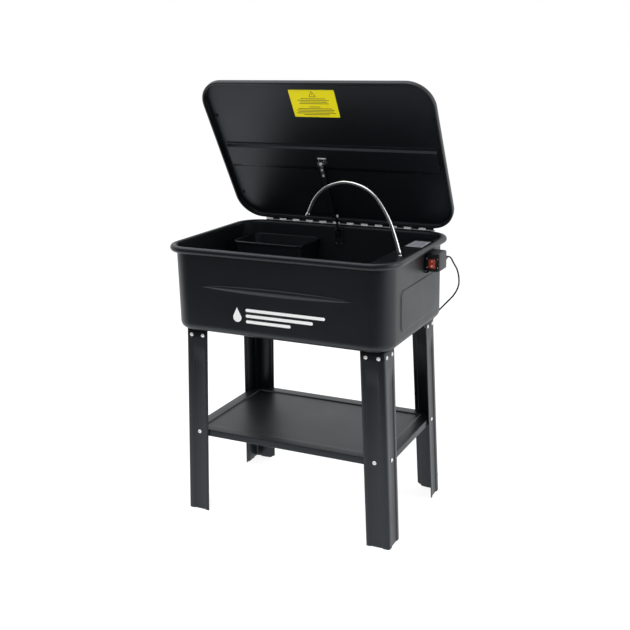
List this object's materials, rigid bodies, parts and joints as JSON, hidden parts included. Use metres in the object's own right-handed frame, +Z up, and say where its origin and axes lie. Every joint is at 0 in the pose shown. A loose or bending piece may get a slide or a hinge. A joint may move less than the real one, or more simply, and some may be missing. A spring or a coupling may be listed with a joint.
{
  "type": "parts washer tank",
  "caption": "Free-standing parts washer: pressed steel tub with hinged lid on a jointed stay, pump spout, parts tray, splayed legs and lower shelf.",
  "frame": {"origin": "on the floor, midway between the four feet, under the middle of the tank", "axes": "+Z up, +X to the right and +Y to the back for someone standing at the front; the lid hinges along X at the back"},
  "size_m": [0.84, 0.719, 1.4328],
  "materials": {
    "zinc": "bright zinc plate",
    "black_powder_coat": "semi-gloss powder coat",
    "chrome": "polished chrome",
    "black_plastic": "satin moulding",
    "red_plastic": "gloss",
    "black_rubber": "matt",
    "clear_hose": "satin"
  },
  "bodies": {
    "frame": {"bolt_back_left_face_0": "zinc", "bolt_back_left_face_1": "zinc", "bolt_back_left_shelf_face": "zinc", "bolt_back_left_shelf_side": "zinc", "bolt_back_left_side_0": "zinc", "bolt_back_left_side_1": "zinc", "bolt_back_right_face_0": "zinc", "bolt_back_right_face_1": "zinc", "bolt_back_right_shelf_face": "zinc", "bolt_back_right_shelf_side": "zinc", "bolt_back_right_side_0": "zinc", "bolt_back_right_side_1": "zinc", "bolt_front_left_face_0": "zinc", "bolt_front_left_face_1": "zinc", "bolt_front_left_shelf_face": "zinc", "bolt_front_left_shelf_side": "zinc", "bolt_front_left_side_0": "zinc", "bolt_front_left_side_1": "zinc", "bolt_front_right_face_0": "zinc", "bolt_front_right_face_1": "zinc", "bolt_front_right_shelf_face": "zinc", "bolt_front_right_shelf_side": "zinc", "bolt_front_right_side_0": "zinc", "bolt_front_right_side_1": "zinc", "cord": "black_rubber", "cord_coil": "black_rubber", "cord_gland": "black_rubber", "drain_plug": "zinc", "hinge_leaf_tank": "zinc", "hinge_pin": "zinc", "leg_back_left": "black_powder_coat", "leg_back_right": "black_powder_coat", "leg_bracket_back_left": "black_powder_coat", "leg_bracket_back_right": "black_powder_coat", "leg_bracket_front_left": "black_powder_coat", "leg_bracket_front_right": "black_powder_coat", "leg_front_left": "black_powder_coat", "leg_front_right": "black_powder_coat", "lower_shelf": "black_powder_coat", "plug": "black_rubber", "pump": "black_plastic", "pump_cover": "black_powder_coat", "pump_hose": "clear_hose", "spout_fitting": "chrome", "stay_tank_bracket": "black_powder_coat", "switch_box": "black_plastic", "tank": "black_powder_coat", "work_shelf": "black_powder_coat"},
    "lid": {"lid": "black_powder_coat", "lid_stiffener": "black_powder_coat", "hinge_leaf_lid": "black_powder_coat", "stay_lid_bracket": "zinc"},
    "stay_upper": {"stay_link": "zinc", "stay_upper_arm": "black_powder_coat"},
    "stay_lower": {"stay_lower_arm": "zinc", "stay_elbow_bolt": "zinc"},
    "tray": {"parts_tray": "black_powder_coat"},
    "spout": {"gooseneck": "chrome", "spout_nozzle": "chrome"},
    "switch_rocker": {"rocker": "red_plastic"}
  },
  "joints": [
    {"name": "lid_hinge", "type": "hinge", "parent": "frame", "child": "lid", "pos_m": [0.008, 0.2695, 0.9381], "axis": [1, 0, 0], "range_deg": [0, 61]},
    {"name": "stay_upper_pivot", "type": "hinge", "parent": "lid", "child": "stay_upper", "pos_m": [-0.025, 0.14063, 1.15822], "axis": [1, 0, 0], "range_deg": [-19.88, 0]},
    {"name": "stay_lower_pivot", "type": "hinge", "parent": "frame", "child": "stay_lower", "pos_m": [-0.0145, 0.24, 0.905], "axis": [1, 0, 0], "range_deg": [0, 144.6]},
    {"name": "spout_fold", "type": "hinge", "parent": "frame", "child": "spout", "pos_m": [0.3454, -0.0793, 0.9175], "axis": [0.9063, -0.4226, 0], "range_deg": [0, 85.01]},
    {"name": "tray_lift", "type": "slide", "parent": "frame", "child": "tray", "axis": [0, 0, 1], "range_m": [0, 0.045]},
    {"name": "rocker_tilt", "type": "hinge", "parent": "frame", "child": "switch_rocker", "pos_m": [0.404, 0.0525, 0.871], "axis": [1, 0, 0], "range_deg": [0, 12]}
  ],
  "couplings": [
    {"joint": "stay_upper_pivot", "follows": "lid_hinge", "ratio": -0.32568},
    {"joint": "stay_lower_pivot", "follows": "lid_hinge", "ratio": 2.3704},
    {"joint": "spout_fold", "follows": "lid_hinge", "ratio": 1.3934}
  ]
}
